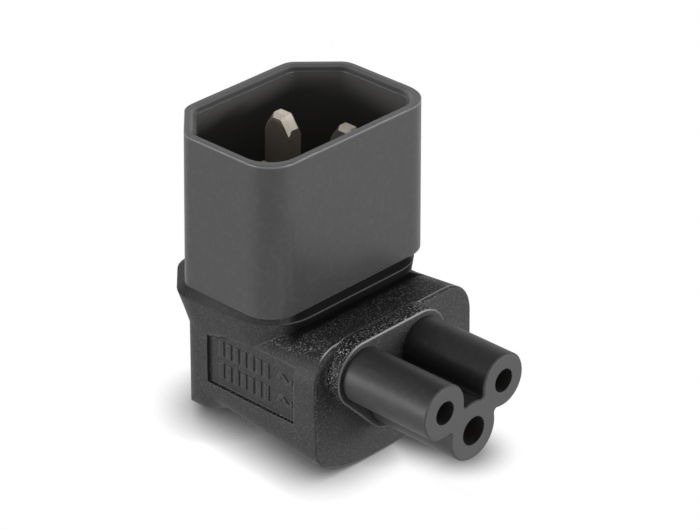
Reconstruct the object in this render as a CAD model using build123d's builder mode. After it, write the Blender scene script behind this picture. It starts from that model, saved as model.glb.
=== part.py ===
from build123d import *
import os

os.makedirs("parts", exist_ok=True)

# Right-angle mains adapter: an upright C14 inlet stands on a moulded block, and a
# horizontal C5 connector (cloverleaf) leaves the front of the block.
# +Z is up along the inlet, the connector points to -Y, and X is the width.
# The origin is the middle of the footprint, on the surface that the block rests on.

# Inlet shroud
shroud_width = 28.0
shroud_depth = 19.6
shroud_chamfer = 5.25
shroud_front_radius = 4.0
shroud_back_radius = 2.4
shroud_height = 19.9
shroud_draft = 0.15
shroud_wall = 1.55
lead_in = 0.7
rim_chamfer = 0.12
cavity_depth = 17.0
plug_inset = 1.6
plug_depth = 3.2

# Inlet pins, the earth pin towards the chamfered side
pin_width = 4.0
pin_thickness = 2.0
pin_pitch = 14.0
earth_pin_offset = 4.0
live_tip_below_rim = 4.1
earth_tip_below_rim = 1.2
pin_tip_length = 1.6
pin_tip_flat = 1.7
pin_tip_bevel = 0.45
tab_thickness = 1.0
tab_width = 3.0
tab_below_wire = 1.6

# Overmoulded block: the underside rises from the front to an arch, then drops to a foot
block_width = 27.4
block_top_front = 17.4
block_top_back = 16.7
block_top_bend = 9.0
block_reach_top = 16.35
block_reach = 16.8
block_back = 9.6
block_chamfer = 5.3
block_back_radius = 2.7
block_top_radius = 4.4
block_foot_radius = 3.7
block_edge = 0.3
heel_radius = 2.4
sole_flat = 8.0
sole_rise = 2.6
sole_landing = 2.0
arch_height = 1.67
arch_crown = 0.3
arch_back = 2.9
arch_radius = 2.2

# Collar round the foot of the shroud: wide at the back, close in at the front
collar_top = 19.2
collar_edge_z = 18.0
collar_waist_z = 15.9
collar_foot_z = 13.2
collar_lip = 1.0
collar_tuck = 0.7
collar_back = 10.9
collar_front = 10.1
collar_chamfer = 5.8
collar_front_radius = 6.0
collar_back_radius = 4.0

# Boss at the root of the connector
boss_height = 2.1
boss_margin = 0.8
boss_root = 0.55
boss_edge = 0.25

# C5 connector nose
nose_offset = -2.5
nose_length = 12.8
live_pitch = 10.2
live_height = 13.6
earth_drop = 4.6
live_lobe_radius = 3.45
earth_lobe_radius = 3.85
live_hole_radius = 1.5
earth_hole_radius = 1.85
lobe_notch_radius = 0.4
nose_edge = 0.2
flange_cover = 1.2
flange_thickness = 2.0
flange_side = 0.7
flange_corner = 1.5
cap_thickness = 1.5

# Contacts inside the nose
entry_depth = 3.0
sleeve_wall = 0.35
sleeve_play = 0.05
sleeve_grip = 0.2
sleeve_floor = 0.8
slit_width = 0.6
slit_length = 6.0
neck_radius = 0.8
barrel_radius = 1.15
barrel_length = 2.6

# Wires from the contacts to the pins
conductor_radius = 0.55
wire_radius = 1.1
conductor_in_barrel = 1.8
bare_length = 0.2
wire_straight = 1.0
wire_lap = 2.9
wire_end = 1.2
wire_seat = 1.15

# Inner moulding that holds the wires
core_width = 22.0
core_back = 5.6
core_floor = 5.0
core_corner = 1.5

# Recessed label panel on the left side of the block
panel_length = 14.4
panel_height = 7.5
panel_floor = 7.0
panel_back = 1.4
panel_depth = 0.55
mark_height = 2.1
mark_width = 0.75
mark_pitch = 1.25
mark_count = 7
mark_relief = 0.2
wave_width = 0.45

# Places worked out from the sizes above
nose_reach = block_reach_top + boss_height + nose_length
rear_reach = collar_back
collar_back_width = shroud_width + 2 * collar_lip
collar_front_width = shroud_width - 2 * collar_tuck
inlet_y = (nose_reach - rear_reach) / 2
front_y = inlet_y - block_reach
boss_y = inlet_y - block_reach_top - boss_height
tip_y = boss_y - nose_length
rim_z = collar_top + shroud_height
cavity_floor_z = rim_z - cavity_depth
plug_floor_z = collar_top - plug_depth
earth_height = live_height - earth_drop
live_left = nose_offset - live_pitch / 2
live_right = nose_offset + live_pitch / 2
flange_front_y = front_y + flange_cover
flange_back_y = flange_front_y + flange_thickness
cap_back_y = flange_back_y + cap_thickness
barrel_back_y = cap_back_y + barrel_length
flange_left = live_left - live_lobe_radius - flange_side
flange_right = live_right + live_lobe_radius + flange_side
flange_floor = earth_height - earth_lobe_radius - flange_side
flange_top = plug_floor_z

# Name, hole place and radius, pin place and tip height of each of the three poles
poles = [
    ("line", live_left, live_height, live_hole_radius,
     -pin_pitch / 2, inlet_y - earth_pin_offset / 2, rim_z - live_tip_below_rim),
    ("neutral", live_right, live_height, live_hole_radius,
     pin_pitch / 2, inlet_y - earth_pin_offset / 2, rim_z - live_tip_below_rim),
    ("earth", nose_offset, earth_height, earth_hole_radius,
     0.0, inlet_y + earth_pin_offset / 2, rim_z - earth_tip_below_rim),
]


def level(height):
    """Horizontal plane at a height, centred on the inlet's axis."""
    return Plane(origin=(0, inlet_y, height), x_dir=(1, 0, 0), z_dir=(0, 0, 1))


def upright(y):
    """Vertical plane across the block at a depth, its normal pointing back to +Y."""
    return Plane(origin=(0, y, 0), x_dir=(-1, 0, 0), z_dir=(0, 1, 0))


def inlet_outline(plane, width, depth, chamfer_size, front_radius, back_radius):
    """Rectangle with its two back corners cut at 45 degrees, all corners rounded."""
    return tapered_outline(plane, width, width, depth / 2, depth / 2, chamfer_size,
                           front_radius, back_radius)


def tapered_outline(plane, front_width, back_width, front, back, chamfer_size,
                    front_radius, back_radius):
    """The same outline, but narrower at the front than at the back."""
    near = front_width / 2
    far = back_width / 2
    with BuildSketch(plane) as outline:
        with BuildLine():
            Polyline(
                (-near, -front), (near, -front), (far, back - chamfer_size),
                (far - chamfer_size, back), (-far + chamfer_size, back),
                (-far, back - chamfer_size), close=True,
            )
        make_face()
        corners = outline.vertices().group_by(Axis.Y)
        fillet(corners[-1] + corners[-2], back_radius)
        fillet(outline.vertices().group_by(Axis.Y)[0], front_radius)
    return outline.sketch


# Inlet shroud: the hard cup round the pins, with a plug that the overmould grips
with BuildPart() as shroud:
    foot_outline = inlet_outline(level(collar_top), shroud_width + shroud_draft,
                                 shroud_depth + shroud_draft, shroud_chamfer,
                                 shroud_front_radius, shroud_back_radius)
    rim_outline = inlet_outline(level(rim_z), shroud_width - shroud_draft,
                                shroud_depth - shroud_draft, shroud_chamfer,
                                shroud_front_radius, shroud_back_radius)
    loft([foot_outline.face(), rim_outline.face()], ruled=True)
    chamfer(shroud.faces().sort_by(Axis.Z)[-1].edges(), rim_chamfer)
    extrude(inlet_outline(level(plug_floor_z), shroud_width - 2 * plug_inset,
                          shroud_depth - 2 * plug_inset, shroud_chamfer - plug_inset / 2,
                          shroud_front_radius, shroud_back_radius), amount=plug_depth)
    shroud_blank = shroud.part
    extrude(inlet_outline(level(cavity_floor_z), shroud_width - 2 * shroud_wall,
                          shroud_depth - 2 * shroud_wall,
                          shroud_chamfer - 0.58 * shroud_wall,
                          shroud_front_radius - shroud_wall / 2,
                          shroud_back_radius - shroud_wall / 2),
            amount=cavity_depth, mode=Mode.SUBTRACT)
    mouth = shroud.edges().group_by(Axis.Z)[-1]
    inner_mouth = mouth.filter_by(
        lambda e: max(abs(v.X) for v in e.vertices()) < shroud_width / 2 - shroud_wall + 0.01
        and max(abs(v.Y - inlet_y) for v in e.vertices()) < shroud_depth / 2 - shroud_wall + 0.01
    )
    chamfer(inner_mouth, lead_in)
    for name, x, z, hole, pin_x, pin_y, tip_z in poles:
        with BuildSketch(Plane.XY.offset(plug_floor_z)):
            with Locations((pin_x, pin_y)):
                Rectangle(pin_thickness, pin_width)
        extrude(amount=cavity_floor_z - plug_floor_z, mode=Mode.SUBTRACT)
shroud.part.label = "inlet_shroud"
export_step(shroud.part, "parts/inlet_shroud.step")

# Inlet pins: flat blades with a rounded, bevelled end and a thin solder tab below
pins = []
for name, x, z, hole, pin_x, pin_y, tip_z in poles:
    side = Plane(origin=(pin_x, pin_y, 0), x_dir=(0, 1, 0), z_dir=(1, 0, 0))
    half = pin_width / 2
    shoulder_z = tip_z - pin_tip_length
    with BuildPart() as pin:
        with BuildSketch(side) as blade:
            with BuildLine():
                Polyline((-half, shoulder_z), (-half, plug_floor_z), (half, plug_floor_z),
                         (half, shoulder_z), (pin_tip_flat / 2, tip_z),
                         (-pin_tip_flat / 2, tip_z), close=True)
            make_face()
        extrude(amount=pin_thickness / 2, both=True)
        tip_edges = pin.edges().filter_by(
            lambda e: e.center().Z > shoulder_z + 0.1 and abs(e.center().X - pin_x) > 0.1)
        chamfer(tip_edges, pin_tip_bevel)
        with BuildSketch(side) as tab:
            with Locations((0, (plug_floor_z + z - tab_below_wire) / 2)):
                Rectangle(tab_width, plug_floor_z - z + tab_below_wire)
        extrude(amount=tab_thickness / 2, both=True)
    pin.part.label = name + "_pin"
    export_step(pin.part, "parts/" + name + "_pin.step")
    pins.append(pin.part)

# Connector nose: three fused lobes, a flange that the overmould grips, and the holes
with BuildPart() as nose:
    with BuildSketch(upright(tip_y)) as cloverleaf:
        with Locations((-live_left, live_height), (-live_right, live_height)):
            Circle(live_lobe_radius)
        with Locations((-nose_offset, earth_height)):
            Circle(earth_lobe_radius)
        fillet(cloverleaf.vertices(), lobe_notch_radius)
    extrude(amount=flange_front_y - tip_y)
    chamfer(nose.faces().sort_by(Axis.Y)[0].edges(), nose_edge)
    with BuildSketch(upright(flange_front_y)):
        with Locations((-(flange_left + flange_right) / 2, (flange_floor + flange_top) / 2)):
            RectangleRounded(flange_right - flange_left, flange_top - flange_floor,
                             flange_corner)
    extrude(amount=flange_thickness)
    nose_blank = nose.part
    for name, x, z, hole, pin_x, pin_y, tip_z in poles:
        with BuildSketch(upright(tip_y)):
            with Locations((-x, z)):
                Circle(hole)
        extrude(amount=entry_depth, mode=Mode.SUBTRACT)
        with BuildSketch(upright(tip_y + entry_depth)):
            with Locations((-x, z)):
                Circle(hole - sleeve_grip + sleeve_wall + sleeve_play)
        extrude(amount=flange_back_y - tip_y - entry_depth, mode=Mode.SUBTRACT)
nose.part.label = "outlet_nose"
export_step(nose.part, "parts/outlet_nose.step")

# Cap plate that closes the back of the nose and holds the contacts by their necks
with BuildPart() as cap:
    with BuildSketch(upright(flange_back_y)):
        with Locations((-(flange_left + flange_right) / 2, (flange_floor + flange_top) / 2)):
            RectangleRounded(flange_right - flange_left, flange_top - flange_floor,
                             flange_corner)
    extrude(amount=cap_thickness)
    cap_blank = cap.part
    with BuildSketch(upright(flange_back_y)):
        with Locations(*[(-pole[1], pole[2]) for pole in poles]):
            Circle(neck_radius)
    extrude(amount=cap_thickness, mode=Mode.SUBTRACT)
cap.part.label = "outlet_cap"
export_step(cap.part, "parts/outlet_cap.step")

# Contacts: slit sleeves with a neck through the cap and a crimp barrel behind it
contacts = []
for name, x, z, hole, pin_x, pin_y, tip_z in poles:
    sleeve_y = tip_y + entry_depth
    sleeve_radius = hole - sleeve_grip + sleeve_wall
    with BuildPart() as contact:
        with BuildSketch(upright(sleeve_y)):
            with Locations((-x, z)):
                Circle(sleeve_radius)
        extrude(amount=flange_back_y - sleeve_y)
        with BuildSketch(upright(sleeve_y)):
            with Locations((-x, z)):
                Circle(hole - sleeve_grip)
        extrude(amount=flange_back_y - sleeve_floor - sleeve_y, mode=Mode.SUBTRACT)
        with BuildSketch(upright(sleeve_y)):
            with Locations((-x, z + sleeve_radius)):
                Rectangle(slit_width, 2 * sleeve_radius)
        extrude(amount=slit_length, mode=Mode.SUBTRACT)
        with BuildSketch(upright(flange_back_y)):
            with Locations((-x, z)):
                Circle(neck_radius)
        extrude(amount=cap_thickness)
        with BuildSketch(upright(cap_back_y)):
            with Locations((-x, z)):
                Circle(barrel_radius)
        extrude(amount=barrel_length)
        with BuildSketch(upright(barrel_back_y - conductor_in_barrel)):
            with Locations((-x, z)):
                Circle(conductor_radius)
        extrude(amount=conductor_in_barrel, mode=Mode.SUBTRACT)
    contact.part.label = name + "_contact"
    export_step(contact.part, "parts/" + name + "_contact.step")
    contacts.append(contact.part)

# Wires: a bare end in the crimp barrel, then the insulated run to the side of the
# pin's tab, where it lies flat against the tab
wires = []
for pole, pin in zip(poles, pins):
    name, x, z, hole, pin_x, pin_y, tip_z = pole
    seat_x = pin_x - wire_seat
    with BuildPart() as wire:
        with BuildLine() as path:
            Polyline(
                (x, barrel_back_y + bare_length, z),
                (x, barrel_back_y + wire_straight, z),
                (seat_x, pin_y + wire_end - wire_lap - wire_straight, z),
                (seat_x, pin_y + wire_end, z),
            )
        with BuildSketch(upright(barrel_back_y + bare_length)):
            with Locations((-x, z)):
                Circle(wire_radius)
        sweep(path=path.line, transition=Transition.RIGHT)
        with BuildSketch(upright(barrel_back_y - conductor_in_barrel)):
            with Locations((-x, z)):
                Circle(conductor_radius)
        extrude(amount=conductor_in_barrel + bare_length)
        add(pin, mode=Mode.SUBTRACT)
    wire.part.label = name + "_wire"
    export_step(wire.part, "parts/" + name + "_wire.step")
    wires.append(wire.part)

# Inner moulding: fills the block between the cap and the shroud, round the wires
with BuildPart() as core:
    core_depth = inlet_y + core_back - cap_back_y
    with BuildSketch(Plane(origin=(0, cap_back_y + core_depth / 2, core_floor),
                           x_dir=(1, 0, 0), z_dir=(0, 0, 1))):
        RectangleRounded(core_width, core_depth, core_corner)
    extrude(amount=plug_floor_z - core_floor)
    core_blank = core.part
    for piece in pins + contacts + wires:
        add(piece, mode=Mode.SUBTRACT)
core.part.label = "inner_moulding"
export_step(core.part, "parts/inner_moulding.step")

# Boss, with bevelled edges: it stands a little proud of the block's top at its root
with BuildPart() as boss:
    with BuildSketch(upright(boss_y)):
        with Locations((-live_left, live_height), (-live_right, live_height)):
            Circle(live_lobe_radius + boss_margin)
        with Locations((-nose_offset, earth_height)):
            Circle(earth_lobe_radius + boss_margin)
        make_hull()
    extrude(amount=boss_height + boss_root)
    chamfer(boss.faces().sort_by(Axis.Y)[0].edges() + boss.faces().sort_by(Axis.Y)[-1].edges(),
            boss_edge)

# Blank for the block's upright sides, its lower back edges rounded as a heel
with BuildPart() as sides:
    extrude(tapered_outline(level(0), block_width, block_width, block_reach + 6, block_back,
                            block_chamfer, heel_radius + 1, block_back_radius),
            amount=block_top_front + 2)
    fillet(sides.faces().sort_by(Axis.Z)[0].edges(), heel_radius)

# Overmould: the block, the collar round the shroud and the boss round the nose
with BuildPart() as body:
    half = block_width / 2
    with BuildLine() as arch:
        FilletPolyline(
            (0, front_y - 1, 0), (0, front_y + sole_landing, 0),
            (0, inlet_y + arch_crown, arch_height), (0, inlet_y + arch_back, 0),
            (0, inlet_y + block_back + 1, 0), radius=arch_radius,
        )
    with BuildSketch(upright(front_y - 1)) as section:
        with BuildLine():
            Line((-sole_flat / 2, 0), (sole_flat / 2, 0))
            TangentArc((sole_flat / 2, 0), (half, sole_rise), tangent=(1, 0))
            TangentArc((-sole_flat / 2, 0), (-half, sole_rise), tangent=(-1, 0))
            Polyline((half, sole_rise), (half, collar_top), (-half, collar_top),
                     (-half, sole_rise))
        make_face()
        fillet([corner for corner in section.vertices() if abs(corner.X) > half - 0.01
                and corner.Y < sole_rise + 0.01], block_foot_radius)
    sweep(path=arch.line, normal=(0, 1, 0))
    with BuildSketch(Plane(origin=(0, inlet_y, 0), x_dir=(0, 1, 0), z_dir=(1, 0, 0))):
        with BuildLine():
            Polyline(
                (-block_reach, 0), (-block_reach_top, block_top_front),
                (-block_top_bend, block_top_back), (block_back, block_top_back),
                (block_back, -1), (-block_reach, -1), close=True,
            )
        make_face()
    extrude(amount=half, both=True, mode=Mode.INTERSECT)
    upper_edges = body.edges().filter_by(
        lambda e: e.center().Z > block_top_back - 0.1 and abs(abs(e.center().X) - half) < 0.01)
    fillet(upper_edges, block_top_radius)
    chamfer(body.faces().sort_by(Axis.Y)[0].edges(), block_edge)
    add(sides.part, mode=Mode.INTERSECT)

    levels = [
        (collar_foot_z, block_width - 0.1, block_width - 0.1, block_back - 0.05, 9.4,
         block_chamfer),
        (collar_waist_z, collar_front_width - 0.4, (block_width + collar_back_width) / 2 + 0.1,
         (block_back + collar_back) / 2, 9.7, (block_chamfer + collar_chamfer) / 2),
        (collar_edge_z, collar_front_width, collar_back_width, collar_back, collar_front,
         collar_chamfer),
        (collar_top, shroud_width - 0.6, shroud_width, shroud_depth / 2, shroud_depth / 2,
         shroud_chamfer),
    ]
    rings = []
    for height, front_width, back_width, back, front, corner in levels:
        rings.append(tapered_outline(level(height), front_width, back_width, front, back,
                                     corner, collar_front_radius, collar_back_radius).face())
    for lower, upper in zip(rings, rings[1:]):
        loft([lower, upper], ruled=True)

    add(boss.part)

    panel_plane = Plane(origin=(-half, inlet_y + panel_back - panel_length / 2,
                                panel_floor + panel_height / 2),
                        x_dir=(0, -1, 0), z_dir=(-1, 0, 0))
    with BuildSketch(panel_plane):
        Rectangle(panel_length, panel_height)
    extrude(amount=-panel_depth, mode=Mode.SUBTRACT)
    with BuildSketch(panel_plane.offset(-panel_depth)):
        for row in (-1, 1):
            row_z = row * (mark_height / 2 + 0.45)
            for mark in range(mark_count):
                with Locations(((mark - mark_count / 2 - 0.6) * mark_pitch, row_z)):
                    Rectangle(mark_width, mark_height)
            wave_x = mark_count / 2 * mark_pitch
            with BuildLine() as wave:
                Spline((wave_x, row_z - 0.2), (wave_x + 0.7, row_z + 0.35),
                       (wave_x + 1.5, row_z - 0.35), (wave_x + 2.2, row_z + 0.2))
            trace(wave.line, line_width=wave_width)
    extrude(amount=mark_relief)

    for blank in [core_blank, cap_blank, nose_blank, shroud_blank]:
        add(blank, mode=Mode.SUBTRACT)
body.part.label = "overmould"
export_step(body.part, "parts/overmould.step")
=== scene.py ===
import math

import bpy
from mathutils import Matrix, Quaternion, Vector


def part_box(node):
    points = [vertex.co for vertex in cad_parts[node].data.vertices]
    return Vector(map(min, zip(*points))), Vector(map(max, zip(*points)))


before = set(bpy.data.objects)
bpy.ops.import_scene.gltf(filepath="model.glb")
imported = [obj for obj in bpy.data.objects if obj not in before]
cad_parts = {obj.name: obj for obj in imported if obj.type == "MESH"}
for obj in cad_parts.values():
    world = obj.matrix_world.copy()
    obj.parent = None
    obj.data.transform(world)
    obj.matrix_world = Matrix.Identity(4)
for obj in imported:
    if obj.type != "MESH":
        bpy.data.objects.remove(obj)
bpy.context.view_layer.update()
scene = bpy.context.scene
scene.view_settings.view_transform = "Standard"


# Camera
# Stands in front of the label side and the nose, about 29 degrees above the table, with
# a long lens, so that the upright edges stay almost parallel.
camera_place = Vector((-0.25125, -0.23411, 0.21003))
camera_target = Vector((0.00430, 0.00512, 0.01829))
camera_roll = math.radians(0.42)
focal_length_mm = 170.03
sensor_width_mm = 36.0
camera_lens = bpy.data.cameras.new("camera")
camera_lens.lens = focal_length_mm
camera_lens.sensor_width = sensor_width_mm
camera_lens.sensor_fit = "HORIZONTAL"
camera_lens.clip_start = 0.01
camera_lens.clip_end = 20.0
camera = bpy.data.objects.new("camera", camera_lens)
scene.collection.objects.link(camera)
camera.location = camera_place
aim = (camera_target - camera_place).to_track_quat("-Z", "Y")
camera.rotation_mode = "QUATERNION"
camera.rotation_quaternion = aim @ Quaternion((0.0, 0.0, 1.0), camera_roll)
scene.camera = camera


# Overmould
# The block, the collar round the shroud and the boss round the nose are one shot of
# black PVC over the wired contacts, with the fine pitted grain of a spark-eroded mould.
def feed(tree, entry, value):
    """Links a node's input to a socket, or sets it to a number, a vector or a colour."""
    if isinstance(value, bpy.types.NodeSocket):
        tree.links.new(value, entry)
    elif entry.type == "RGBA":
        entry.default_value = (*value, 1.0)
    else:
        entry.default_value = value


def put(tree, kind, entries=(), **settings):
    """Adds one node to a tree, sets its properties and feeds its inputs."""
    node = tree.nodes.new(kind)
    for key, value in settings.items():
        setattr(node, key, value)
    for entry, value in dict(entries).items():
        feed(tree, node.inputs[entry], value)
    return node


def reckon(tree, operation, *values, **settings):
    """One step of arithmetic on sockets or numbers."""
    node = put(tree, "ShaderNodeMath", enumerate(values), operation=operation, **settings)
    return node.outputs["Value"]


def blend(tree, share, under, over):
    """Mixes two colours, from the first at a share of 0 to the second at 1."""
    node = put(tree, "ShaderNodeMix", {"Factor": share, "A": under, "B": over},
               data_type="RGBA")
    return node.outputs["Result"]


def new_effect(name, numbers, masks, normals=()):
    """Starts a node group. Its inputs are numbers; its outputs are masks and normals."""
    tree = bpy.data.node_groups.new(name, "ShaderNodeTree")
    for entry, value in numbers.items():
        socket = tree.interface.new_socket(entry, in_out="INPUT", socket_type="NodeSocketFloat")
        socket.default_value = value
    for kind, exits in (("NodeSocketFloat", masks), ("NodeSocketVector", normals)):
        for exit_name in exits:
            tree.interface.new_socket(exit_name, in_out="OUTPUT", socket_type=kind)
    return tree, put(tree, "NodeGroupInput").outputs, put(tree, "NodeGroupOutput").inputs


# Mould grain: small pits of two sizes, as a height from 0 to 1, and their bright crests.
pit_share = 0.55
grain, grain_in, grain_out = new_effect(
    "mould_grain", {"Pitch": 2600.0, "Crest": 0.72}, ("Height", "Crests"))
grain_place = put(grain, "ShaderNodeTexCoord").outputs["Object"]
grain_pits = put(grain, "ShaderNodeTexVoronoi", {
    "Vector": grain_place, "Scale": grain_in["Pitch"]}, feature="SMOOTH_F1")
grain_fine = put(grain, "ShaderNodeTexNoise", {
    "Vector": grain_place, "Scale": grain_in["Pitch"], "Detail": 3.0, "Roughness": 0.6})
grain_height = reckon(
    grain, "MULTIPLY_ADD", grain_pits.outputs["Distance"], pit_share, grain_fine.outputs["Fac"])
grain_crests = put(grain, "ShaderNodeMapRange", {
    "Value": grain_height, "From Min": grain_in["Crest"], "From Max": 1.0})
feed(grain, grain_out["Height"], grain_height)
feed(grain, grain_out["Crests"], grain_crests.outputs["Result"])

# Soft edge: the rounded normal of a sharp moulded edge, and a mask of where it turns, along
# which moulded() paints an edge highlight. The mask goes by the cosine between the rounded
# normal and the face's own.
turn_start = 0.985
turn_full = 0.80
edge, edge_in, edge_out = new_effect("soft_edge", {"Radius": 0.0002}, ("Edge",), ("Normal",))
edge_face = put(edge, "ShaderNodeNewGeometry").outputs["Normal"]
edge_normal = put(edge, "ShaderNodeBevel", {"Radius": edge_in["Radius"]},
                  samples=6).outputs["Normal"]
edge_turn = put(edge, "ShaderNodeVectorMath", {0: edge_normal, 1: edge_face},
                operation="DOT_PRODUCT")
edge_mask = put(edge, "ShaderNodeMapRange", {
    "Value": edge_turn.outputs["Value"], "From Min": turn_start, "From Max": turn_full})
feed(edge, edge_out["Normal"], edge_normal)
feed(edge, edge_out["Edge"], edge_mask.outputs["Result"])


def moulded(name, colour, crest_colour, edge_highlight_colour, pitch, depth, rough, gloss, edge_radius):
    """Satin moulded plastic: grain bump, paler crests, and rounded edges with a painted
    highlight, with a slow cloud in its tone and shine."""
    tone_low = 0.86
    tone_high = 1.16
    rough_high = rough + 0.05
    rough_low = rough - 0.08
    material = bpy.data.materials.new(name)
    material.use_nodes = True
    tree = material.node_tree
    shader = tree.nodes["Principled BSDF"]
    pits = put(tree, "ShaderNodeGroup", {"Pitch": pitch}, node_tree=grain).outputs
    corner = put(tree, "ShaderNodeGroup", {"Radius": edge_radius}, node_tree=edge).outputs
    place = put(tree, "ShaderNodeTexCoord").outputs["Object"]
    cloud = put(tree, "ShaderNodeTexNoise", {
        "Vector": place, "Scale": 160.0, "Detail": 4.0}).outputs["Fac"]
    tint = blend(tree, cloud, [tone_low * c for c in colour], [tone_high * c for c in colour])
    crests = blend(tree, pits["Crests"], tint, crest_colour)
    # Painted highlight: the edge mask lays the edge highlight colour over the crests.
    edge_highlighted = blend(tree, corner["Edge"], crests, edge_highlight_colour)
    shine = put(tree, "ShaderNodeMapRange", {
        "Value": cloud, "To Min": rough_high, "To Max": rough_low})
    bump = put(tree, "ShaderNodeBump", {
        "Distance": depth, "Height": pits["Height"], "Normal": corner["Normal"]})
    feed(tree, shader.inputs["Specular IOR Level"], gloss)
    feed(tree, shader.inputs["Base Color"], edge_highlighted)
    feed(tree, shader.inputs["Roughness"], shine.outputs["Result"])
    feed(tree, shader.inputs["Normal"], bump.outputs["Normal"])
    return material


def dress(node, material):
    """Gives a CAD node one material in every slot."""
    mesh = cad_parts[node].data
    if not mesh.materials:
        mesh.materials.append(material)
    for slot in range(len(mesh.materials)):
        mesh.materials[slot] = material


overmould_pitch = 5200.0
overmould_plastic = moulded(
    "overmould_plastic", colour=(0.031, 0.031, 0.032), crest_colour=(0.068, 0.068, 0.070),
    edge_highlight_colour=(0.110, 0.110, 0.112), pitch=overmould_pitch, depth=0.00004,
    rough=0.50, gloss=0.15, edge_radius=0.00030)
dress("overmould", overmould_plastic)


def object_axes(tree):
    """X, Y and Z of the point that is shaded, in metres."""
    place = put(tree, "ShaderNodeTexCoord").outputs["Object"]
    return put(tree, "ShaderNodeSeparateXYZ", {"Vector": place}).outputs


def ramp(tree, value, low, high):
    """Smooth rise of a value from 0 at low to 1 at high; low above high makes it fall."""
    node = put(tree, "ShaderNodeMapRange", {
        "Value": value, "From Min": min(low, high), "From Max": max(low, high),
        "To Min": float(low > high), "To Max": float(low < high)},
        interpolation_type="SMOOTHSTEP")
    return node.outputs["Result"]


def product(tree, first, *others):
    """Multiplies masks and numbers, from left to right."""
    for value in others:
        first = reckon(tree, "MULTIPLY", first, value)
    return first


def strongest(tree, first, *others):
    """The highest of several masks at each point."""
    for value in others:
        first = reckon(tree, "MAXIMUM", first, value)
    return first


def stripe(tree, value, start, full, fade, end):
    """Mask that rises from start to full and falls again from fade to end."""
    return product(tree, ramp(tree, value, start, full), ramp(tree, value, end, fade))


def distance(tree, across, along):
    """Length of two steps at right angles to each other."""
    steps = put(tree, "ShaderNodeCombineXYZ", {"X": across, "Y": along}).outputs["Vector"]
    return put(tree, "ShaderNodeVectorMath", {0: steps}, operation="LENGTH").outputs["Value"]


def limits(node, axis):
    """Lowest and highest place of a CAD node along an axis, to the nearest micrometre."""
    low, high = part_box(node)
    return round(getattr(low, axis), 6), round(getattr(high, axis), 6)


def beside(place, steps):
    """Several places, each one step away from the first."""
    return [place + step for step in steps]


# Places on the collar and the boss. The boss is the hull of three round lobes, and its
# upper two lie in line with the nose's live and neutral holes.
boss_front = limits("overmould", "y")[0]
boss_depth = 0.00265
boss_radius = 0.00425
upper_lobe_left = -0.0076
upper_lobe_right = 0.0026
upper_lobe_height = 0.0136
collar_edge = 0.0180

marks, marks_in, marks_out = new_effect(
    "collar_and_boss", {"Boss Front": boss_front, "Boss Back": boss_front + boss_depth},
    ("Shade", "Rims", "Glint Zone", "Upward"))
point = object_axes(marks)
from_front = reckon(marks, "SUBTRACT", point["Y"], marks_in["Boss Front"])
from_back = reckon(marks, "SUBTRACT", marks_in["Boss Back"], point["Y"])

# Shade: a dark strip on the collar under the shroud's front edge, and the collar's shoulder.
# Steps say where a mask starts and is full, or also where it fades and ends, seen from an
# edge. Ranges say the same as places.
shoulder_steps = (-0.00025, 0.00005)
shoulder_share = 0.55
strip_back_range = (0.0016, 0.0004)
strip_front_range = (-0.0016, -0.0004)
strip_height_range = (0.0160, 0.0166)
shoulder = ramp(marks, point["Z"], *beside(collar_edge, shoulder_steps))
front_side = ramp(marks, point["Y"], *strip_back_range)
strip = product(
    marks, front_side, ramp(marks, point["Z"], *strip_height_range),
    ramp(marks, point["Y"], *strip_front_range))
shade = strongest(marks, strip, product(marks, shoulder, shoulder_share))
feed(marks, marks_out["Shade"], shade)

# Rims: the light that the boss's front and back edges, the line where the boss leaves the
# block and the fold at the collar's front edge catch.
front_rim_steps = (0.00001, 0.00003, 0.00015, 0.00020)
back_rim_steps = (-0.00002, 0.00000, 0.00022, 0.00027)
back_rim_height_range = (0.0158, 0.0172)
fold_steps = (-0.00014, -0.00004, 0.00006, 0.00016)
fold_share = 0.42
front_rim = stripe(marks, from_front, *front_rim_steps)
back_rim = product(
    marks, stripe(marks, from_back, *back_rim_steps),
    ramp(marks, point["Z"], *back_rim_height_range))
fold = product(
    marks, stripe(marks, point["Z"], *beside(collar_edge, fold_steps)), front_side, fold_share)

# The block's front leans, so the root line lies deeper behind the boss's front above than
# below.
root_lean = -0.12
root_ring_steps = (-0.00020, -0.00013, 0.00009, 0.00017)
root_start_range = (0.00182, 0.00188)
root_end_range = (0.00212, 0.00204)
root_height_range = (0.0118, 0.0140)
root_share = 0.8
nearest_lobe = put(marks, "ShaderNodeClamp", {
    "Value": point["X"], "Min": upper_lobe_left, "Max": upper_lobe_right}).outputs["Result"]
lobe_across = reckon(marks, "SUBTRACT", point["X"], nearest_lobe)
lobe_above = reckon(marks, "SUBTRACT", point["Z"], upper_lobe_height)
lobe_distance = distance(marks, lobe_across, lobe_above)
root_ring = stripe(marks, lobe_distance, *beside(boss_radius, root_ring_steps))
root_depth = reckon(marks, "MULTIPLY_ADD", lobe_above, root_lean, from_front)
root_start = product(
    marks, ramp(marks, root_depth, *root_start_range),
    ramp(marks, point["Z"], *root_height_range))
root_end = ramp(marks, root_depth, *root_end_range)
root = product(marks, root_ring, root_start, root_end, root_share)
feed(marks, marks_out["Rims"], strongest(marks, front_rim, back_rim, root, fold))
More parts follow.
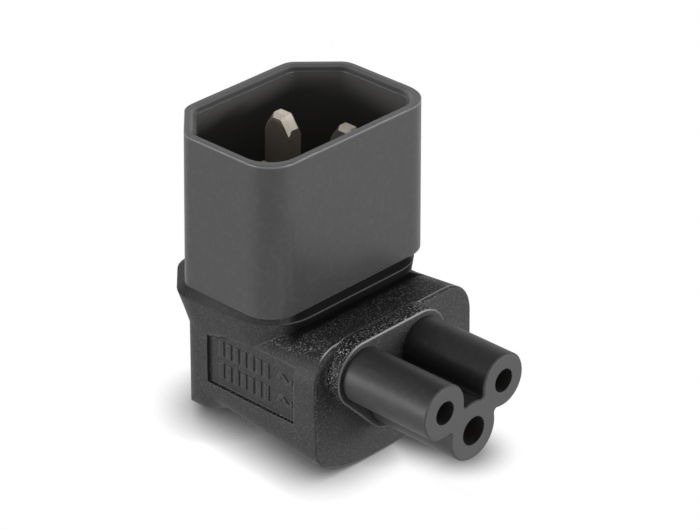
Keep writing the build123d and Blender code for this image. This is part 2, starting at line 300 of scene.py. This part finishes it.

# Glint zone: where the grain's crests are painted as bright glints over a ground painted
# darker as shade: on the boss's sides, on the block's front face to the left of the boss,
# and on faces that look up.
upward_range = (0.55, 0.90)
upward_share = 0.42
sides_depth_range = (0.00016, 0.00022, 0.00178, 0.00184)
sides_height_range = (0.0070, 0.0084)
face_left_range = (-0.0090, -0.0120)
face_height_range = (0.0040, 0.0110)
face_depth_range = (0.00240, 0.00200)
face_share = 0.45
facing = put(marks, "ShaderNodeNewGeometry").outputs["True Normal"]
facing_up = put(marks, "ShaderNodeSeparateXYZ", {"Vector": facing}).outputs["Z"]
upward = ramp(marks, facing_up, *upward_range)
boss_sides = product(
    marks, stripe(marks, from_front, *sides_depth_range),
    ramp(marks, point["Z"], *sides_height_range))
front_face = product(
    marks, ramp(marks, point["X"], *face_left_range),
    ramp(marks, point["Z"], *face_height_range),
    ramp(marks, from_front, *face_depth_range), face_share)
glint_zone = strongest(marks, product(marks, upward, upward_share), boss_sides, front_face)
feed(marks, marks_out["Glint Zone"], glint_zone)
feed(marks, marks_out["Upward"], upward)


def fed_by(material, entry):
    """The socket that feeds one input of a material's shader."""
    return material.node_tree.nodes["Principled BSDF"].inputs[entry].links[0].from_socket


# The overmould's colour in layers, each over the one before: a ground painted darker as
# shade under the glints, the painted glints on the grain's crests, the painted shade and
# the painted highlight lines. Glints and highlight lines are painted paler on faces that
# look up.
shaded_ground_colour = (0.006, 0.006, 0.006)
shaded_ground_gain = 1.3
shade_colour = (0.002, 0.002, 0.002)
over = overmould_plastic.node_tree
over_shader = over.nodes["Principled BSDF"]
over_masks = put(over, "ShaderNodeGroup", node_tree=marks).outputs
over_specks = put(over, "ShaderNodeGroup", {"Pitch": overmould_pitch, "Crest": 0.77},
                  node_tree=grain).outputs
glint_share = product(over, over_specks["Crests"], over_masks["Glint Zone"])
shaded_ground_share = reckon(over, "MULTIPLY", over_masks["Glint Zone"], shaded_ground_gain, use_clamp=True)
glint_colour = blend(over, over_masks["Upward"], (0.21, 0.21, 0.212), (0.60, 0.60, 0.605))
highlight_line_colour = blend(over, over_masks["Upward"], (0.13, 0.13, 0.132), (0.50, 0.50, 0.505))
over_colour = fed_by(overmould_plastic, "Base Color")
for share, layer in (
        (shaded_ground_share, shaded_ground_colour), (glint_share, glint_colour),
        (over_masks["Shade"], shade_colour), (over_masks["Rims"], highlight_line_colour)):
    over_colour = blend(over, share, over_colour, layer)
feed(over, over_shader.inputs["Base Color"], over_colour)
over_rough = strongest(over, fed_by(overmould_plastic, "Roughness"), over_masks["Shade"])
feed(over, over_shader.inputs["Roughness"], over_rough)


# Inlet shroud
# The hard cup round the inlet's pins is moulded first in black polyamide. Its walls are
# smoother than the overmould. Inside the cup they are painted paler as painted light, and
# the rim is painted palest as a painted highlight.
shroud_plastic = moulded(
    "shroud_plastic", colour=(0.031, 0.031, 0.032), crest_colour=(0.039, 0.039, 0.040),
    edge_highlight_colour=(0.140, 0.140, 0.143), pitch=1500.0, depth=0.000012,
    rough=0.36, gloss=0.50, edge_radius=0.00018)
dress("inlet_shroud", shroud_plastic)

# The cup's half sizes and rim. Its chamfers lie at the back and its round corners at the
# front, and both are given by the sum of a point's distances to the side and along.
shroud_left, shroud_right = limits("inlet_shroud", "x")
shroud_front, shroud_back = limits("inlet_shroud", "y")
shroud_rim = limits("inlet_shroud", "z")[1]
half_width = (shroud_right - shroud_left) / 2
half_depth = (shroud_back - shroud_front) / 2
wall_steps = (-0.000675, -0.001075)
chamfer_range = (0.0178, 0.0172)
front_corner_range = (0.0206, 0.0200)
mouth_steps = (-0.0004, -0.0011)
rim_steps = (-0.0004, -0.0002)
cup_light_colour = (0.085, 0.083, 0.081)
rim_highlight_colour = (0.115, 0.115, 0.117)

cup, cup_in, cup_out = new_effect(
    "cup_inside", {"Middle": (shroud_front + shroud_back) / 2}, ("Inside", "Rim"))
cup_point = object_axes(cup)
cup_behind = reckon(cup, "SUBTRACT", cup_point["Y"], cup_in["Middle"])
cup_across = reckon(cup, "ABSOLUTE", cup_point["X"])
cup_along = reckon(cup, "ABSOLUTE", cup_behind)
within_width = ramp(cup, cup_across, *beside(half_width, wall_steps))
within_depth = ramp(cup, cup_along, *beside(half_depth, wall_steps))
within_chamfer = ramp(cup, reckon(cup, "ADD", cup_across, cup_behind), *chamfer_range)
within_corner = ramp(cup, reckon(cup, "SUBTRACT", cup_across, cup_behind), *front_corner_range)
within_height = ramp(cup, cup_point["Z"], *beside(shroud_rim, mouth_steps))
inside = product(cup, product(cup, within_width, within_depth),
                 product(cup, within_chamfer, within_height), within_corner)
feed(cup, cup_out["Inside"], inside)
feed(cup, cup_out["Rim"], ramp(cup, cup_point["Z"], *beside(shroud_rim, rim_steps)))

# Painted light: the inside of the cup is painted paler, and the rim gets a painted highlight.
wall = shroud_plastic.node_tree
wall_masks = put(wall, "ShaderNodeGroup", node_tree=cup).outputs
wall_colour = fed_by(shroud_plastic, "Base Color")
wall_colour = blend(wall, wall_masks["Inside"], wall_colour, cup_light_colour)
wall_colour = blend(wall, wall_masks["Rim"], wall_colour, rim_highlight_colour)
feed(wall, wall.nodes["Principled BSDF"].inputs["Base Color"], wall_colour)


# Connector nose
# Three fused lobes of black polyamide stand out of the boss, with their contact holes in
# a paler end face. The cap behind the nose is the same material.
nose_plastic = moulded(
    "nose_plastic", colour=(0.034, 0.034, 0.035), crest_colour=(0.042, 0.042, 0.043),
    edge_highlight_colour=(0.160, 0.160, 0.163), pitch=1500.0, depth=0.000012,
    rough=0.48, gloss=0.26, edge_radius=0.00018)
nose_tip = limits("outlet_nose", "y")[0]
end_face_steps = (0.000155, 0.000035)
end_face_colour = (0.054, 0.054, 0.055)
nose = nose_plastic.node_tree
nose_end = ramp(nose, object_axes(nose)["Y"], *beside(nose_tip, end_face_steps))
nose_colour = blend(nose, nose_end, fed_by(nose_plastic, "Base Color"), end_face_colour)
feed(nose, nose.nodes["Principled BSDF"].inputs["Base Color"], nose_colour)
dress("outlet_nose", nose_plastic)
dress("outlet_cap", nose_plastic)


# Inlet pins
# Blanked brass strip, nickel plated, with the lengthwise lines of its rolling. The line
# pin, whose tip just shows above the near rim, gets a darker, rougher copy of the plating
# as painted shade.
def metal(name, colour, dark, rough, lines, metallic=1.0):
    """Plated or drawn metal: fine lengthwise lines in bump and shine, and a faint tarnish."""
    rough_low = rough - 0.07
    rough_high = rough + 0.09
    line_depth = 0.000008
    edge_radius = 0.00012
    material = bpy.data.materials.new(name)
    material.use_nodes = True
    tree = material.node_tree
    shader = tree.nodes["Principled BSDF"]
    place = put(tree, "ShaderNodeTexCoord").outputs["Object"]
    stretch = put(tree, "ShaderNodeMapping", {"Vector": place, "Scale": lines})
    strip_lines = put(tree, "ShaderNodeTexNoise", {
        "Vector": stretch.outputs["Vector"], "Scale": 1.0, "Detail": 3.0}).outputs["Fac"]
    cloud = put(tree, "ShaderNodeTexNoise", {
        "Vector": place, "Scale": 420.0, "Detail": 4.0}).outputs["Fac"]
    corner = put(tree, "ShaderNodeGroup", {"Radius": edge_radius}, node_tree=edge)
    shine = put(tree, "ShaderNodeMapRange", {
        "Value": strip_lines, "To Min": rough_low, "To Max": rough_high})
    bump = put(tree, "ShaderNodeBump", {
        "Distance": line_depth, "Height": strip_lines, "Normal": corner.outputs["Normal"]})
    feed(tree, shader.inputs["Metallic"], metallic)
    feed(tree, shader.inputs["Base Color"], blend(tree, cloud, dark, colour))
    feed(tree, shader.inputs["Roughness"], shine.outputs["Result"])
    feed(tree, shader.inputs["Normal"], bump.outputs["Normal"])
    return material


upright_lines = (9000.0, 9000.0, 300.0)
nickel_plate = metal("nickel_plate", colour=(0.84, 0.76, 0.65), dark=(0.62, 0.55, 0.46),
                     rough=0.32, lines=upright_lines, metallic=0.62)
# Painted shade: the line pin's plating is painted darker and rougher.
nickel_plate_shaded = metal("nickel_plate_shaded", colour=(0.22, 0.20, 0.17), dark=(0.15, 0.13, 0.11),
                    rough=0.46, lines=upright_lines)
dress("line_pin", nickel_plate_shaded)
dress("neutral_pin", nickel_plate)
dress("earth_pin", nickel_plate)


# Contacts and wires
# Drawn brass sleeves with crimp barrels behind them, and short insulated wires to the
# pins' tabs. All of them are closed in by the block.
level_lines = (9000.0, 300.0, 9000.0)
contact_brass = metal("contact_brass", colour=(0.80, 0.62, 0.30), dark=(0.58, 0.42, 0.20),
                      rough=0.30, lines=level_lines)
insulation_colour = {
    "line": (0.20, 0.085, 0.035),
    "neutral": (0.035, 0.13, 0.40),
    "earth": (0.10, 0.34, 0.08),
}
# The wires' grain crests and their painted edge highlights take a paler tone of the
# insulation's colour.
crest_and_highlight_tone = 1.3
for pole, colour in insulation_colour.items():
    dress(pole + "_contact", contact_brass)
    pale = tuple(crest_and_highlight_tone * c for c in colour)
    sheath = moulded(
        pole + "_insulation", colour=colour, crest_colour=pale, edge_highlight_colour=pale,
        pitch=4000.0, depth=0.000004, rough=0.38, gloss=0.5, edge_radius=0.0001)
    dress(pole + "_wire", sheath)


# Inner moulding
# Grey filler that holds the wires and the tabs while the overmould is shot round them.
# It is closed in by the block.
inner_plastic = moulded(
    "inner_plastic", colour=(0.13, 0.13, 0.135), crest_colour=(0.17, 0.17, 0.175),
    edge_highlight_colour=(0.20, 0.20, 0.205), pitch=1800.0, depth=0.00002,
    rough=0.55, gloss=0.5, edge_radius=0.0001)
dress("inner_moulding", inner_plastic)


# Floor and light
# White paper between two low soft boxes. The camera sees it plain white, apart from the
# contact shadow close round the block and the soft shadow under the nose.
floor_half = 3.0
floor_mesh = bpy.data.meshes.new("floor")
floor_mesh.from_pydata(
    [(-floor_half, -floor_half, 0.0), (floor_half, -floor_half, 0.0),
     (floor_half, floor_half, 0.0), (-floor_half, floor_half, 0.0)], [], [(0, 1, 2, 3)])
floor = bpy.data.objects.new("floor", floor_mesh)
scene.collection.objects.link(floor)
white = (1.0, 1.0, 1.0)
paper = bpy.data.materials.new("paper")
paper.use_nodes = True
paper_tree = paper.node_tree
paper_shader = paper_tree.nodes["Principled BSDF"]
paper_ray = put(paper_tree, "ShaderNodeLightPath").outputs

# Contact shadow: it follows how open the space close above each point of the paper is.
contact_reach = 0.0052
contact_power = 1.3
contact_open = put(paper_tree, "ShaderNodeAmbientOcclusion", {"Distance": contact_reach},
                   samples=16).outputs["AO"]
contact_shadow = reckon(paper_tree, "POWER", contact_open, contact_power)

# Nose shadow: it fades with the distance to a line that runs aslant under the nose.
nose_line_far = -0.0132
nose_line_near = -0.0040
nose_line_slant = 0.267
nose_line_shift = 0.0006
nose_shadow_reach = 0.0078
nose_shadow_dark = 0.10
nose_shadow_power = 1.1
spot = object_axes(paper_tree)
nose_line = put(paper_tree, "ShaderNodeClamp", {
    "Value": spot["Y"], "Min": nose_line_far, "Max": nose_line_near}).outputs["Result"]
line_along = reckon(paper_tree, "SUBTRACT", spot["Y"], nose_line)
line_slanted = reckon(paper_tree, "MULTIPLY_ADD", nose_line, nose_line_slant, spot["X"])
line_across = reckon(paper_tree, "SUBTRACT", line_slanted, nose_line_shift)
nose_fade = put(paper_tree, "ShaderNodeMapRange", {
    "Value": distance(paper_tree, line_across, line_along), "From Max": nose_shadow_reach,
    "To Min": nose_shadow_dark}, interpolation_type="SMOOTHSTEP").outputs["Result"]
nose_shadow = reckon(paper_tree, "POWER", nose_fade, nose_shadow_power)

# The camera sees the darker of the two shadows as plain light. Every other ray meets matt
# paper, which glows only in reflections.
paper_glow = 0.45
feed(paper_tree, paper_shader.inputs["Base Color"], (0.80, 0.80, 0.80))
feed(paper_tree, paper_shader.inputs["Roughness"], 0.9)
feed(paper_tree, paper_shader.inputs["Specular IOR Level"], 0.0)
feed(paper_tree, paper_shader.inputs["Emission Color"], white)
feed(paper_tree, paper_shader.inputs["Emission Strength"],
     reckon(paper_tree, "MULTIPLY", paper_ray["Is Glossy Ray"], paper_glow))
paper_seen = put(paper_tree, "ShaderNodeEmission", {
    "Strength": reckon(paper_tree, "MINIMUM", contact_shadow, nose_shadow)})
paper_pick = put(paper_tree, "ShaderNodeMixShader", {
    0: paper_ray["Is Camera Ray"], 1: paper_shader.outputs[0], 2: paper_seen.outputs[0]})
feed(paper_tree, paper_tree.nodes["Material Output"].inputs["Surface"], paper_pick.outputs[0])
floor_mesh.materials.append(paper)

# Studio: a white room, which the camera and the reflections see darker overhead. To the
# object it gives only a weak and even light.
room_light = 0.26
overhead_range = (0.45, 0.80)
overhead_strength = 0.25
room = bpy.data.worlds.new("studio")
scene.world = room
room.use_nodes = True
sky = room.node_tree
sky_ray = put(sky, "ShaderNodeLightPath").outputs
sky_way = put(sky, "ShaderNodeTexCoord").outputs["Generated"]
sky_height = put(sky, "ShaderNodeSeparateXYZ", {"Vector": sky_way}).outputs["Z"]
sky_dome = put(sky, "ShaderNodeMapRange", {
    "Value": sky_height, "From Min": overhead_range[0], "From Max": overhead_range[1],
    "To Min": 1.0, "To Max": overhead_strength}, interpolation_type="SMOOTHSTEP")
sky_strength = put(sky, "ShaderNodeMapRange", {
    "Value": strongest(sky, sky_ray["Is Camera Ray"], sky_ray["Is Glossy Ray"]),
    "To Min": room_light, "To Max": sky_dome.outputs["Result"]}).outputs["Result"]
feed(sky, sky.nodes["Background"].inputs["Color"], white)
feed(sky, sky.nodes["Background"].inputs["Strength"], sky_strength)

lamp_target = Vector((0.0, 0.0, 0.02))
soft_box_size = (0.5, 0.18)


def soft_box(name, place, power):
    """Area lamp turned to the middle of the object."""
    lamp = bpy.data.lights.new(name, "AREA")
    lamp.shape = "RECTANGLE"
    lamp.size, lamp.size_y = soft_box_size
    lamp.energy = power
    holder = bpy.data.objects.new(name, lamp)
    scene.collection.objects.link(holder)
    holder.location = place
    holder.rotation_mode = "QUATERNION"
    holder.rotation_quaternion = (lamp_target - holder.location).to_track_quat("-Z", "Y")


soft_box("left_box", place=Vector((-0.66, 0.24, 0.09)), power=4.75)
soft_box("right_box", place=Vector((0.22, -0.66, 0.09)), power=5.6)
